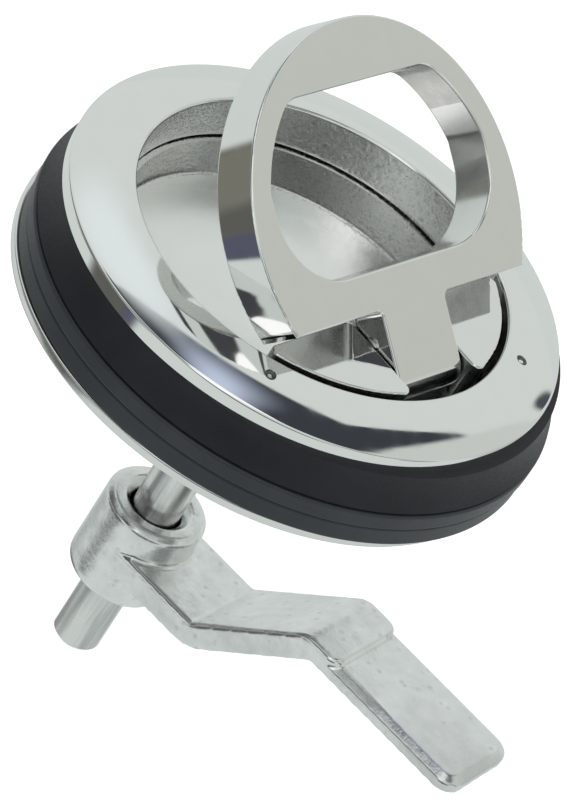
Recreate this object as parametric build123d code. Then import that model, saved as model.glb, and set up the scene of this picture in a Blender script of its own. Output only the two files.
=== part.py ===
from build123d import *
from math import asin, atan2, cos, degrees, hypot, radians, sin
import os

# Flush pull latch for a hatch: a round flange with a turning cup in it, a ring handle that
# lifts out of the cup, and a spindle with a cranked cam arm under the panel. Lifting the
# handle lets the spindle down and frees the panel, and a quarter turn swings the arm away.
# All sizes are in millimetres. The origin is on the spindle's axis, in the plane of the
# flange's underside. Z points out of the panel, and X points to the handle's hinge.

# Mechanism: the widths below add up outwards from the spindle to the flange's rim
spindle_radius = 3.75
rocker_barrel_radius = 2.7
barrel_gap = 0.95
rocker_outer_arm = 9.4
link_pin_arm = 5.3
link_lead = 0.45
hinge_inset = 6.05
bore_lip_gap = 0.95
cup_wall = 2.25
turning_clearance = 0.1
housing_wall = 1.95
flange_overhang = 6.0
quarter_turn = 90.0

# Flange and housing
flange_rim_height = 2.1
flange_top = 4.35
flange_crown = 0.35
flange_edge_round = 0.4
bore_edge_round = 0.5
bore_lip_depth = 7.0
housing_end_lip = 0.7
index_mark_radius = 0.85
index_mark_depth = 0.35
index_mark_inset = 6.25
index_mark_angle = -58.5

# Rings round the housing
ring_shift = 0.9
ring_shift_angle = 25.74
ring_bore_clearance = 1.0
gasket_thickness = 6.05
gasket_top_overhang = 0.4
gasket_flare = 1.9
gasket_waist = 0.35
gasket_edge_round = 0.5
upper_washer_thickness = 2.7
lower_washer_thickness = 3.21
lower_washer_step = 0.2
washer_edge_round = 0.3
nut_flange_step = 0.3
nut_flange_thickness = 1.64
nut_hub_wall = 3.0
nut_hub_height = 3.3
nut_edge_round = 0.4
nut_thread_clearance = 0.05
nut_notches = 6
nut_notch_width = 5.0
nut_notch_depth = 1.4

# Turning cup
cup_rim_gap = 0.35
cup_depth = 13.85
cup_floor_thickness = 2.6
cup_corner_round = 0.5
block_reach = 9.05
block_proud = 0.02
block_corner_round = 1.2
block_edge_round = 0.3
seal_section_radius = 0.8
seal_groove_clearance = 0.1
stop_inset = 4.95
stop_pin_radius = 1.1
stop_pin_angle = 135.0
stop_groove_depth = 1.2
stop_clearance = 0.3
stop_pin_seat = 3.0

# Ring handle
handle_side_gap = 1.25
handle_offset = 0.5
handle_thickness = 6.6
handle_lift = 36.0
full_lift = 45.0
chord_gap = 0.6
handle_bar_width = 5.55
handle_ring_width = 3.9
hole_far_inset = 5.05
hole_side_inset = 1.0
hole_near_round = 11.0
hole_far_round = 5.0
stem_half_width = 6.72
stem_side_clearance = 0.28
stem_under_clearance = 0.4
stem_corner_round = 1.0
handle_edge_round = 0.35
handle_mark_radius = 0.35
handle_mark_depth = 0.3
handle_mark_angle = -60.5
handle_mark_below_face = 1.0

# Pins
hinge_pin_radius = 1.5
hinge_pin_recess = 0.5
link_pin_radius = 1.2
pivot_clearance = 0.05
cross_pin_radius = 1.3
rocker_pin_radius = 1.4

# Pull link, rocker and their clearances
link_half_thickness = 1.5
link_eye_radius = 2.2
link_half_width = 1.6
link_side_clearance = 0.3
link_slot_clearance = 0.35
link_well_clearance = 0.5
open_pivot_play = 0.25
open_pivot_slide = 0.6
rocker_depth = 4.68
rocker_arm_thickness = 2.0
rocker_eye_radius = 2.5
rocker_spindle_gap = 0.3
rocker_slide = 0.35
rocker_eye_play = 0.1
cheek_gap = 0.4
cheek_thickness = 3.2
cheek_end_margin = 3.1
cheek_back = 4.5
cheek_bottom_gap = 0.8
cheek_corner_round = 1.5

# Back cover, its bearing and its ring
thrust_washer_thickness = 0.45
thrust_washer_gap = 0.05
thrust_washer_width = 2.6
cover_plate_thickness = 4.0
cover_clearance = 0.05
cover_plate_rim = 6.05
cover_wall = 2.0
cover_depth = 11.0
cover_corner_round = 2.5
cover_boss_radius = 9.0
cover_boss_height = 10.8
cover_boss_lip = 1.2
cover_rib_thickness = 2.5
cover_ribs = 6
cover_rib_inset = 2.5
bush_radius = 6.2
shaft_seal_section_radius = 1.1
shaft_seal_clearance = 0.1
gland_clearance = 0.55
circlip_thickness = 1.2
circlip_width = 2.6
circlip_groove_depth = 0.9
circlip_clearance = 0.05
circlip_gap_angle = 34.0
circlip_lug_radius = 2.3
circlip_lug_hole_radius = 0.9

# Spindle and cam arm
spindle_end_chamfer = 0.8
spindle_head_above_pin = 2.8
spindle_below_hub = 14.3
spindle_flat_depth = 0.6
spindle_flat_above_hub = 3.5
cam_angle = 6.05
hub_below_cover = 15.1
hub_height = 15.3
hub_radius = 7.9
hub_bore_clearance = 0.3
hub_top_chamfer = 0.9
hub_bottom_round = 1.6
hub_countersink = 1.3
hub_root_round = 0.8
arm_half_width = 7.9
arm_bevel = 0.4
arm_below_hub_top = 5.3
arm_thickness = 4.0
arm_flat_length = 16.7
arm_climb = 14.0
arm_rise_angle = 42.7
pad_length = 6.47
pad_corner_round = 2.0
tongue_step = 0.8
tongue_thickness = 2.2
tongue_length = 24.05
tongue_corner_round = 3.0
tongue_bevel = 0.7
tongue_end_bevel = 1.5
upper_crease_round = 1.2
upper_bend_round = 4.0
under_bend_round = 7.0
under_crease_round = 2.0
cam_screw_radius = 2.5
cam_screw_recess = 0.4
cam_screw_socket_radius = 1.25
cam_screw_socket_depth = 2.4
cam_screw_below_hub_top = 8.5

# Smallest length that counts where edges are picked, and how far a cut runs past a face
touch = 0.01
overrun = 1.0

# Radii and places across, from the spindle outwards
rocker_inner_arm = spindle_radius + rocker_barrel_radius + barrel_gap
fulcrum_x = rocker_inner_arm
hinge_x = rocker_inner_arm + rocker_outer_arm + link_pin_arm - link_lead
cup_bore_radius = hinge_x + hinge_inset
bore_radius = cup_bore_radius + bore_lip_gap
cup_radius = cup_bore_radius + cup_wall
inner_radius = cup_radius + turning_clearance
housing_radius = inner_radius + housing_wall
flange_radius = housing_radius + flange_overhang
index_mark_circle = flange_radius - index_mark_inset
ring_bore_radius = housing_radius + ring_bore_clearance
gasket_top_radius = flange_radius + gasket_top_overhang
gasket_bottom_radius = gasket_top_radius + gasket_flare
upper_washer_radius = gasket_bottom_radius
lower_washer_radius = upper_washer_radius - lower_washer_step
nut_flange_radius = lower_washer_radius - nut_flange_step
nut_hub_radius = housing_radius + nut_hub_wall
stop_circle = cup_radius - stop_inset
cover_dish_radius = inner_radius - cover_plate_rim
cover_rib_reach = cover_dish_radius - cover_rib_inset
hub_bore_radius = spindle_radius + hub_bore_clearance

# Handle and block, from the hinge inwards
handle_radius = bore_radius - handle_side_gap
handle_centre_x = -handle_offset
block_inner_face = hinge_x - block_reach
block_radius = cup_bore_radius
chord_offset = block_inner_face + handle_offset - chord_gap
hole_near = chord_offset - handle_bar_width
hole_radius = handle_radius - handle_ring_width
hole_far = hole_radius - hole_far_inset
hole_half_width = hole_radius - hole_side_inset
handle_bottom = flange_top - handle_thickness
hinge_z = flange_top - handle_thickness / 2
slot_half_width = stem_half_width + stem_side_clearance
slot_floor = handle_bottom - stem_under_clearance
block_top = flange_top + block_proud

# Heights of the rings, the cup and the cover, downwards from the flange
bore_lip_bottom = flange_top - bore_lip_depth
gasket_bottom = -gasket_thickness
upper_washer_bottom = gasket_bottom - upper_washer_thickness
lower_washer_bottom = upper_washer_bottom - lower_washer_thickness
nut_flange_bottom = lower_washer_bottom - nut_flange_thickness
nut_hub_bottom = nut_flange_bottom - nut_hub_height
cup_rim = bore_lip_bottom - cup_rim_gap
cup_floor_top = flange_top - cup_depth
cup_underside = cup_floor_top - cup_floor_thickness
cover_top = cup_underside - thrust_washer_gap - thrust_washer_thickness
cover_plate_bottom = cover_top - cover_plate_thickness
cover_bottom = cover_top - cover_depth
cover_floor = cover_bottom + cover_wall
cover_boss_bottom = cover_bottom - cover_boss_height
circlip_groove_bottom = cover_plate_bottom - circlip_thickness - 2 * circlip_clearance
housing_bottom = circlip_groove_bottom - housing_end_lip
shaft_seal_z = cover_boss_bottom + cover_boss_lip + shaft_seal_section_radius + shaft_seal_clearance

# The linkage as the handle stands lifted
pin_travel = link_pin_arm * sin(radians(full_lift))
rocker_half_swing = asin(pin_travel / 2 / rocker_outer_arm)
fulcrum_z = cup_underside - rocker_depth
link_top_x = hinge_x - link_pin_arm * cos(radians(handle_lift))
link_top_z = hinge_z + link_pin_arm * sin(radians(handle_lift))
link_drop = rocker_outer_arm * sin(rocker_half_swing)
link_bottom_z = fulcrum_z - link_drop + link_pin_arm * sin(radians(handle_lift))
rocker_angle = asin((link_bottom_z - fulcrum_z) / rocker_outer_arm)
link_bottom_x = fulcrum_x + rocker_outer_arm * cos(rocker_angle)
cross_pin_z = fulcrum_z - rocker_inner_arm * sin(rocker_angle)
spindle_top = cross_pin_z + spindle_head_above_pin
tine_inner = spindle_radius + rocker_spindle_gap
tine_outer = tine_inner + rocker_arm_thickness
cheek_inner = tine_outer + cheek_gap
cheek_outer = cheek_inner + cheek_thickness
cheek_bottom = cover_floor + cheek_bottom_gap

# The cam arm on the spindle, downwards from its hub's top
hub_top = cover_boss_bottom - hub_below_cover
hub_bottom = hub_top - hub_height
arm_low_top = hub_top - arm_below_hub_top
arm_rise_start = arm_flat_length
pad_top = arm_low_top + arm_climb
tongue_top = pad_top - tongue_step
cam_screw_height = hub_top - cam_screw_below_hub_top
spindle_flat_top = hub_top + spindle_flat_above_hub
spindle_flat_x = spindle_flat_depth - spindle_radius
cam_screw_length = hub_radius - cam_screw_recess + spindle_flat_x
spindle_bottom = hub_bottom - spindle_below_hub



def profile(points):
    """A closed outline in the XZ plane, from points (radius, height)."""
    return Plane.XZ * make_face(Polyline(*points, close=True))


def turned(points):
    """A piece turned about the spindle's axis."""
    return revolve(profile(points), Axis.Z)


def disc(radius, low, high):
    """A plain disc or cylinder on the spindle's axis."""
    return Pos(0, 0, (low + high) / 2) * Cylinder(radius, high - low)


def cross_bar(x, z, radius, half_length):
    """A round bar that lies along Y, through (x, z)."""
    return Pos(x, 0, z) * Rot(90, 0, 0) * Cylinder(radius, 2 * half_length)


def slab(x_low, x_high, half_width, z_low, z_high):
    """A rectangular block that is centred on the X axis."""
    middle = Pos((x_low + x_high) / 2, 0, (z_low + z_high) / 2)
    return middle * Box(x_high - x_low, 2 * half_width, z_high - z_low)


def plate(outline, half_thickness):
    """A flat plate in the XZ plane, centred on it."""
    return extrude(Plane.XZ * outline, amount=half_thickness, both=True)


def edges_at(shape, height):
    """The edges that lie wholly at one height."""
    return shape.edges().filter_by_position(Axis.Z, height - touch, height + touch)


def make_flange_body():
    """Cast flange with its domed face, the bore's lip and the threaded housing tube."""
    dome_middle = (
        (flange_radius + bore_radius) / 2,
        (flange_rim_height + flange_top) / 2 + flange_crown,
    )
    outline = Line((bore_radius, flange_top), (bore_radius, bore_lip_bottom))
    outline += Line((bore_radius, bore_lip_bottom), (inner_radius, bore_lip_bottom))
    outline += Line((inner_radius, bore_lip_bottom), (inner_radius, housing_bottom))
    outline += Line((inner_radius, housing_bottom), (housing_radius, housing_bottom))
    outline += Line((housing_radius, housing_bottom), (housing_radius, 0))
    outline += Line((housing_radius, 0), (flange_radius, 0))
    outline += Line((flange_radius, 0), (flange_radius, flange_rim_height))
    outline += ThreePointArc((flange_radius, flange_rim_height), dome_middle, (bore_radius, flange_top))
    body = revolve(Plane.XZ * make_face(outline), Axis.Z)
    rim_edge = edges_at(body, flange_rim_height)
    body = fillet(rim_edge, flange_edge_round)
    body = fillet(edges_at(body, flange_top), bore_edge_round)
    body -= disc(inner_radius + circlip_groove_depth, circlip_groove_bottom, cover_plate_bottom)
    for angle in (index_mark_angle, index_mark_angle + quarter_turn):
        body -= Rot(0, 0, angle) * index_mark()
    return body


def index_mark():
    """The ball that leaves an index mark's shallow dimple in the flange's face."""
    share = (flange_radius - index_mark_circle) / (flange_radius - bore_radius)
    face = flange_rim_height + share * (flange_top - flange_rim_height) + flange_crown
    ball_radius = (index_mark_radius**2 + index_mark_depth**2) / (2 * index_mark_depth)
    return Pos(index_mark_circle, 0, face - index_mark_depth + ball_radius) * Sphere(ball_radius)


def off_centre(ring):
    """Puts a loose ring a little to one side of the housing, as it lies."""
    angle = radians(ring_shift_angle)
    return Pos(ring_shift * cos(angle), ring_shift * sin(angle), 0) * ring


def make_thick_gasket():
    """Moulded rubber gasket, with a flank that flares to its lower edge."""
    waist = ((gasket_top_radius + gasket_bottom_radius) / 2 - gasket_waist, gasket_bottom / 2)
    outline = Line((ring_bore_radius, gasket_bottom), (ring_bore_radius, 0))
    outline += Line((ring_bore_radius, 0), (gasket_top_radius, 0))
    outline += ThreePointArc((gasket_top_radius, 0), waist, (gasket_bottom_radius, gasket_bottom))
    outline += Line((gasket_bottom_radius, gasket_bottom), (ring_bore_radius, gasket_bottom))
    ring = revolve(Plane.XZ * make_face(outline), Axis.Z)
    rim = edges_at(ring, gasket_bottom).sort_by(SortBy.LENGTH)[-1]
    return off_centre(fillet(rim, gasket_edge_round))


def flat_washer(radius, low, high):
    """A flat washer that is loose on the housing, with rounded outer edges."""
    inner = ring_bore_radius
    ring = turned([(inner, low), (radius, low), (radius, high), (inner, high)])
    rims = [edges_at(ring, z).sort_by(SortBy.LENGTH)[-1] for z in (low, high)]
    return off_centre(fillet(rims, washer_edge_round))


def make_clamp_nut():
    """Ring nut: a thin polished flange and a hub with notches for a hook spanner."""
    bore = housing_radius + nut_thread_clearance
    nut = turned(
        [
            (bore, nut_hub_bottom),
            (nut_hub_radius, nut_hub_bottom),
            (nut_hub_radius, nut_flange_bottom),
            (nut_flange_radius, nut_flange_bottom),
            (nut_flange_radius, lower_washer_bottom),
            (bore, lower_washer_bottom),
        ]
    )
    rims = edges_at(nut, lower_washer_bottom).sort_by(SortBy.LENGTH)[-1:]
    rims += edges_at(nut, nut_flange_bottom).sort_by(SortBy.LENGTH)[-1:]
    nut = fillet(rims, nut_edge_round)
    notch = Pos(nut_hub_radius, 0, (nut_hub_bottom + nut_flange_bottom) / 2) * Box(
        2 * nut_notch_depth, nut_notch_width, nut_flange_bottom - nut_hub_bottom
    )
    for place in PolarLocations(0, nut_notches):
        nut -= place * notch
    return nut


def stop_groove():
    """Arc groove in the cup's underside, as long as a quarter turn."""
    ends = degrees((stop_pin_radius + stop_clearance) / stop_circle)
    groove = Circle(stop_circle + stop_pin_radius + stop_clearance)
    groove -= Circle(stop_circle - stop_pin_radius - stop_clearance)
    reach = 2 * (stop_circle + stop_pin_radius)
    start = radians(stop_pin_angle - quarter_turn - ends)
    middle = radians(stop_pin_angle - quarter_turn / 2)
    end = radians(stop_pin_angle + ends)
    fan = Polyline(
        (0, 0),
        (reach * cos(start), reach * sin(start)),
        (reach * cos(middle), reach * sin(middle)),
        (reach * cos(end), reach * sin(end)),
        close=True,
    )
    return Pos(0, 0, cup_underside) * extrude(groove & make_face(fan), amount=stop_groove_depth)


def make_cup():
    """Cast cup: floor, wall, the raised block that carries the hinge, and the rocker's cheeks."""
    cup = disc(cup_radius, cup_underside, cup_rim)
    cavity = disc(cup_bore_radius, cup_floor_top, cup_rim)
    cavity = fillet(edges_at(cavity, cup_floor_top), cup_corner_round)
    cup -= cavity
    cup -= seal_groove()
    block_plan = Circle(block_radius)
    block_plan &= Pos(block_inner_face + block_radius, 0) * Rectangle(2 * block_radius, 2 * block_radius)
    block_plan -= Pos(block_inner_face + block_radius, 0) * Rectangle(2 * block_radius, 2 * slot_half_width)
    block_plan = fillet(block_plan.vertices(), block_corner_round)
    top_half = Pos(0, 0, slot_floor) * extrude(block_plan, amount=block_top - slot_floor)
    top_half = fillet(edges_at(top_half, block_top), block_edge_round)
    foot_plan = Circle(block_radius + cup_corner_round / 4)
    foot_plan &= Pos(block_inner_face + block_radius, 0) * Rectangle(2 * block_radius, 4 * block_radius)
    foot = Pos(0, 0, cup_underside) * extrude(foot_plan, amount=slot_floor - cup_underside)
    cup += foot + top_half
    cheek = slab(-cheek_back, fulcrum_x + cheek_end_margin, cheek_outer, cheek_bottom, cup_underside)
    cheek = fillet(edges_at(cheek, cheek_bottom).filter_by(Axis.Y), cheek_corner_round)
    cheek -= slab(-2 * cheek_back, 2 * block_inner_face, cheek_inner, cheek_bottom, cup_underside)
    cup += cheek
    return cup - cup_openings()


def seal_groove():
    """Groove for the ring that seals the cup in the housing, in the floor's thickness."""
    middle = (cup_floor_top + cup_underside) / 2
    half = seal_section_radius + seal_groove_clearance
    root = inner_radius - 2 * seal_section_radius - seal_groove_clearance / 2
    return turned(
        [
            (root, middle - half),
            (2 * cup_radius, middle - half),
            (2 * cup_radius, middle + half),
            (root, middle + half),
        ]
    )


def link_well():
    """The way through the block and the floor in which the link moves."""
    low = min(link_top_x, link_bottom_x, hinge_x - link_pin_arm) - link_half_width
    high = hinge_x - link_pin_arm * cos(radians(full_lift)) + link_half_width
    return slab(
        low - link_well_clearance,
        high + link_well_clearance / 2,
        link_half_thickness + link_side_clearance,
        cup_underside - overrun,
        slot_floor + overrun,
    )


def cup_openings():
    """Holes for the pins, slots for the cross pin, the link's well and the stop's groove."""
    openings = cross_bar(hinge_x, hinge_z, hinge_pin_radius, block_radius)
    openings += cross_bar(fulcrum_x, fulcrum_z, rocker_pin_radius, cheek_outer)
    openings += slab(
        -cross_pin_radius - pivot_clearance,
        cross_pin_radius + pivot_clearance,
        2 * cheek_outer,
        cheek_bottom - overrun,
        cup_underside - cheek_gap,
    )
    openings += link_well()
    openings += stop_groove()
    return openings


def hinge_pin_half_length():
    """Half the hinge pin's length: it ends just inside the block's round face."""
    chord = (block_radius**2 - (hinge_x + hinge_pin_radius) ** 2) ** 0.5
    return chord - hinge_pin_recess


def seal_ring(radius, section_radius, height):
    """A rubber ring of round section."""
    return Pos(0, 0, height) * Torus(radius, section_radius)


def handle_plan():
    """Outline of the handle as it lies closed: disc with a chord, stem and finger hole."""
    outline = Circle(handle_radius)
    outline -= Pos(chord_offset + handle_radius, 0) * Rectangle(2 * handle_radius, 2 * handle_radius)
    stem_length = hinge_x - handle_centre_x - chord_offset + stem_corner_round
    stem_middle = chord_offset - stem_corner_round + stem_length / 2
    outline += Pos(stem_middle, 0) * Rectangle(stem_length, 2 * stem_half_width)
    roots = [
        v
        for v in outline.vertices()
        if abs(v.X - chord_offset) < touch and abs(v.Y) < stem_half_width + touch
    ]
    outline = fillet(roots, stem_corner_round)
    hole = RectangleRounded(2 * hole_radius, 2 * hole_half_width, hole_near_round)
    hole = Pos(hole_near - hole_radius, 0) * hole
    hole &= Circle(hole_radius)
    hole &= Pos(hole_radius - hole_far, 0) * Rectangle(2 * hole_radius, 4 * hole_radius)
    far = [v for v in hole.vertices() if v.X < -hole_far + touch]
    hole = fillet(far, hole_far_round)
    return outline, hole


def link_slot():
    """Slot in the stem's underside, as wide as the link needs from closed to fully lifted."""
    half = link_half_width + link_slot_clearance
    depth = handle_thickness
    lean = radians(full_lift)
    outline = Circle(link_eye_radius + link_slot_clearance)
    sweep = Polyline(
        (-half, 0),
        (-half, -depth),
        (half * cos(lean) + depth * sin(lean), half * sin(lean) - depth * cos(lean)),
        (half * cos(lean), half * sin(lean)),
        close=True,
    )
    outline += make_face(sweep)
    slot = plate(outline, link_half_thickness + link_side_clearance)
    return Pos(hinge_x - link_pin_arm, 0, hinge_z) * slot


def lifted(shape):
    """Turns a piece of the closed handle about the hinge, to the lift it is shown at."""
    return Pos(hinge_x, 0, hinge_z) * Rot(0, handle_lift, 0) * Pos(-hinge_x, 0, -hinge_z) * shape


def make_stem_end():
    """The stem's end, rounded about the hinge."""
    half = handle_thickness / 2
    outline = Circle(half) + Pos(-half / 2, 0) * Rectangle(half, 2 * half)
    end = plate(outline, stem_half_width)
    sides = [e for e in end.edges() if abs(abs(e.center().Y) - stem_half_width) < touch]
    return Pos(hinge_x, 0, hinge_z) * fillet(sides, handle_edge_round)


def make_ring_handle():
    """Cast ring handle, polished, with its stem's end rounded about the hinge."""
    outline, hole = handle_plan()
    handle = extrude(outline, amount=handle_thickness) - extrude(hole, amount=handle_thickness)
    handle = Pos(handle_centre_x, 0, handle_bottom) * handle
    for height in (flange_top, handle_bottom):
        rims = [e for e in edges_at(handle, height) if e.center().X < hinge_x - touch]
        handle = fillet(rims, handle_edge_round)
    handle += make_stem_end()
    handle -= cross_bar(hinge_x, hinge_z, hinge_pin_radius + pivot_clearance, 2 * stem_half_width)
    handle -= cross_bar(hinge_x - link_pin_arm, hinge_z, link_pin_radius, 2 * stem_half_width)
    handle -= link_slot()
    mark = Rot(0, 90, 0) * Cylinder(handle_mark_radius, 2 * handle_mark_depth)
    mark = Pos(handle_radius, 0, flange_top - handle_mark_below_face) * mark
    handle -= Pos(handle_centre_x, 0, 0) * Rot(0, 0, handle_mark_angle) * mark
    return lifted(handle)


def make_link():
    """Flat pull link with an eye at each end. The lower eye is slotted and has play."""
    dx = link_top_x - link_bottom_x
    dz = link_top_z - link_bottom_z
    length = hypot(dx, dz)
    outline = Circle(link_eye_radius)
    outline += Pos(0, -length) * Circle(link_eye_radius)
    outline += Pos(0, -length / 2) * Rectangle(2 * link_half_width, length)
    outline -= Circle(link_pin_radius + pivot_clearance)
    lower_hole = link_pin_radius + open_pivot_play
    outline -= Pos(0, -length) * SlotCenterToCenter(2 * (open_pivot_slide - open_pivot_play), 2 * lower_hole)
    lean = degrees(atan2(dx, dz))
    link = plate(outline, link_half_thickness)
    return Pos(link_top_x, 0, link_top_z) * Rot(0, lean, 0) * link


def make_rocker():
    """Forked lever: a barrel on the rocker pin, two arms to the spindle and two to the link."""
    eye = Circle(rocker_eye_radius)
    inner = Pos(-rocker_inner_arm, 0) * eye
    inner += Pos(-rocker_inner_arm / 2, 0) * Rectangle(rocker_inner_arm, 2 * link_half_width)
    inner_hole = cross_pin_radius + rocker_eye_play
    inner -= Pos(-rocker_inner_arm, 0) * SlotCenterToCenter(2 * rocker_slide, 2 * inner_hole)
    outer = Pos(rocker_outer_arm, 0) * Circle(link_eye_radius)
    outer += Pos(rocker_outer_arm / 2, 0) * Rectangle(rocker_outer_arm, 2 * link_half_width)
    outer -= Pos(rocker_outer_arm, 0) * Circle(link_pin_radius)
    half = rocker_arm_thickness / 2
    outer_side = link_half_thickness + link_side_clearance + half
    rocker = cross_bar(0, 0, rocker_barrel_radius, tine_outer)
    for side in (-1, 1):
        rocker += Pos(0, side * (tine_inner + half), 0) * plate(inner, half)
        rocker += Pos(0, side * outer_side, 0) * plate(outer, half)
    rocker -= cross_bar(0, 0, rocker_pin_radius + pivot_clearance, 2 * tine_outer)
    return Pos(fulcrum_x, 0, fulcrum_z) * Rot(0, -degrees(rocker_angle), 0) * rocker


def make_back_cover():
    """Cast cover behind the cup: plate, dish, a boss for the spindle and ribs beneath."""
    plate_radius = inner_radius - cover_clearance
    cover = turned(
        [
            (0, cover_top),
            (plate_radius, cover_top),
            (plate_radius, cover_plate_bottom),
            (cover_dish_radius, cover_plate_bottom),
            (cover_dish_radius, cover_bottom),
            (0, cover_bottom),
        ]
    )
    cover = fillet(edges_at(cover, cover_bottom), cover_corner_round)
    rib = Polyline(
        (0, cover_floor),
        (cover_rib_reach, cover_floor),
        (cover_rib_reach, cover_bottom),
        (cover_boss_radius, cover_boss_bottom + cover_corner_round),
        (0, cover_boss_bottom + cover_corner_round),
        close=True,
    )
    rib = plate(make_face(rib), cover_rib_thickness / 2)
    for place in PolarLocations(0, cover_ribs):
        cover += place * rib
    boss = disc(cover_boss_radius, cover_boss_bottom, cover_floor)
    boss = fillet(edges_at(boss, cover_boss_bottom), cover_boss_lip)
    cover += boss
    hollow = disc(cover_dish_radius - cover_wall, cover_floor, cover_top)
    cover -= fillet(edges_at(hollow, cover_floor), cover_wall / 2)
    cover -= disc(bush_radius, cover_boss_bottom + cover_boss_lip, cover_floor)
    cover -= disc(spindle_radius + gland_clearance, cover_boss_bottom - overrun, cover_floor)
    cover -= stop_pin_place() * Pos(0, 0, cover_top - stop_pin_seat / 2) * Cylinder(
        stop_pin_radius, stop_pin_seat
    )
    return cover


def stop_pin_place():
    """Place of the stop pin round the axis."""
    angle = radians(stop_pin_angle)
    return Pos(stop_circle * cos(angle), stop_circle * sin(angle), 0)


def make_stop_pin():
    """Pin in the cover that limits the cup to a quarter turn."""
    top = cup_underside + stop_groove_depth - stop_clearance
    low = cover_top - stop_pin_seat
    return stop_pin_place() * disc(stop_pin_radius, low, top)


def make_circlip():
    """Internal circlip that holds the cover in, with two lugs for pliers."""
    outer = inner_radius + circlip_groove_depth - circlip_clearance
    ring = Circle(outer) - Circle(outer - circlip_width)
    half_gap = radians(circlip_gap_angle / 2)
    wedge = Polyline(
        (0, 0),
        (2 * outer * cos(half_gap), 2 * outer * sin(half_gap)),
        (2 * outer * cos(half_gap), -2 * outer * sin(half_gap)),
        close=True,
    )
    ring -= make_face(wedge)
    lug_circle = outer - circlip_width - circlip_lug_radius / 2
    for side in (-1, 1):
        angle = side * (half_gap + circlip_lug_radius / lug_circle)
        place = Pos(lug_circle * cos(angle), lug_circle * sin(angle))
        ring += place * Circle(circlip_lug_radius)
        ring -= place * Circle(circlip_lug_hole_radius)
    top = cover_plate_bottom - circlip_clearance
    return Pos(0, 0, top - circlip_thickness) * extrude(ring, amount=circlip_thickness)


def make_spindle():
    """Round bar with a hole for the cross pin and a flat for the cam's screw."""
    bar = disc(spindle_radius, spindle_bottom, spindle_top)
    bar = chamfer(edges_at(bar, spindle_bottom), spindle_end_chamfer)
    bar = chamfer(edges_at(bar, spindle_top), spindle_end_chamfer / 2)
    bar -= cross_bar(0, cross_pin_z, cross_pin_radius, 2 * spindle_radius)
    flat = slab(
        -2 * spindle_radius,
        spindle_flat_x,
        spindle_radius,
        spindle_bottom,
        spindle_flat_top,
    )
    return bar - Rot(0, 0, cam_angle) * flat


def make_cam_arm():
    """Cast cam: a round hub and a cranked arm with bevelled edges, a pad and a thin tongue."""
    rise = radians(arm_rise_angle)
    slope = cos(rise) / sin(rise)
    pad_start = arm_rise_start + arm_climb * slope
    pad_end = pad_start + pad_length
    arm_low_bottom = arm_low_top - arm_thickness
    tongue_bottom = tongue_top - tongue_thickness
    under_start = arm_rise_start + arm_thickness * (1 - cos(rise)) / sin(rise)
    under_end = under_start + (tongue_bottom - arm_low_bottom) * slope
    side = Polyline(
        (0, arm_low_top),
        (arm_rise_start, arm_low_top),
        (pad_start, pad_top),
        (pad_end, pad_top),
        (pad_end, tongue_bottom),
        (under_end, tongue_bottom),
        (under_start, arm_low_bottom),
        (0, arm_low_bottom),
        close=True,
    )
    side = make_face(side)
    for x, z, radius in (
        (arm_rise_start, arm_low_top, upper_crease_round),
        (pad_start, pad_top, upper_bend_round),
        (under_start, arm_low_bottom, under_bend_round),
        (under_end, tongue_bottom, under_crease_round),
    ):
        side = fillet(corner_at(side, x, z), radius)
    crank = plate(side, arm_half_width)
    crank = fillet(crank.edges().filter_by(Axis.Z).group_by(Axis.X)[-1], pad_corner_round)
    crank = chamfer(upper_side_edges(crank), arm_bevel)
    tongue = slab(under_end, pad_end + tongue_length, arm_half_width, tongue_bottom, tongue_top)
    tongue = fillet(tongue.edges().filter_by(Axis.Z).group_by(Axis.X)[-1], tongue_corner_round)
    tongue_rim = [e for e in edges_at(tongue, tongue_top) if e.center().X > under_end + touch]
    tongue = chamfer(tongue_rim, tongue_bevel, tongue_end_bevel)
    arm = crank + tongue
    hub = disc(hub_radius, hub_bottom, hub_top)
    hub = chamfer(edges_at(hub, hub_top), hub_top_chamfer)
    hub = fillet(edges_at(hub, hub_bottom), hub_bottom_round)
    cam = hub + arm
    root = [e for e in edges_at(cam, arm_low_top) if e.geom_type == GeomType.CIRCLE and e.radius > hub_bore_radius]
    cam = fillet(root, hub_root_round)
    cam -= disc(hub_bore_radius, hub_bottom - overrun, hub_top + overrun)
    bore_rims = edges_at(cam, hub_top) + edges_at(cam, hub_bottom)
    bore_rims = [e for e in bore_rims if abs(e.radius - hub_bore_radius) < touch]
    cam = chamfer(bore_rims, hub_countersink)
    cam -= Pos(-hub_radius, 0, cam_screw_height) * Rot(0, 90, 0) * Cylinder(
        cam_screw_radius, 2 * hub_radius
    )
    return Rot(0, 0, cam_angle) * cam


def corner_at(outline, x, z):
    """The corner of a flat outline that is nearest to a point."""
    return outline.vertices().sort_by_distance((x, z, 0))[0]


def upper_side_edges(crank):
    """The long edges along both sides of the arm's upper face."""
    chosen = []
    for face in crank.faces():
        normal = face.normal_at()
        if abs(normal.Y) > touch or normal.Z < touch:
            continue
        for edge in face.edges():
            if abs(abs(edge.center().Y) - arm_half_width) < touch:
                chosen.append(edge)
    return chosen


def make_cam_screw():
    """Grub screw with a hexagon socket, tight on the spindle's flat."""
    screw = Pos(spindle_flat_x - cam_screw_length / 2, 0, 0) * Rot(0, 90, 0) * Cylinder(
        cam_screw_radius - pivot_clearance, cam_screw_length
    )
    socket = extrude(RegularPolygon(cam_screw_socket_radius, 6), amount=cam_screw_socket_depth)
    socket = Pos(spindle_flat_x - cam_screw_length, 0, 0) * Rot(0, 90, 0) * socket
    return Rot(0, 0, cam_angle) * Pos(0, 0, cam_screw_height) * (screw - socket)


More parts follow.
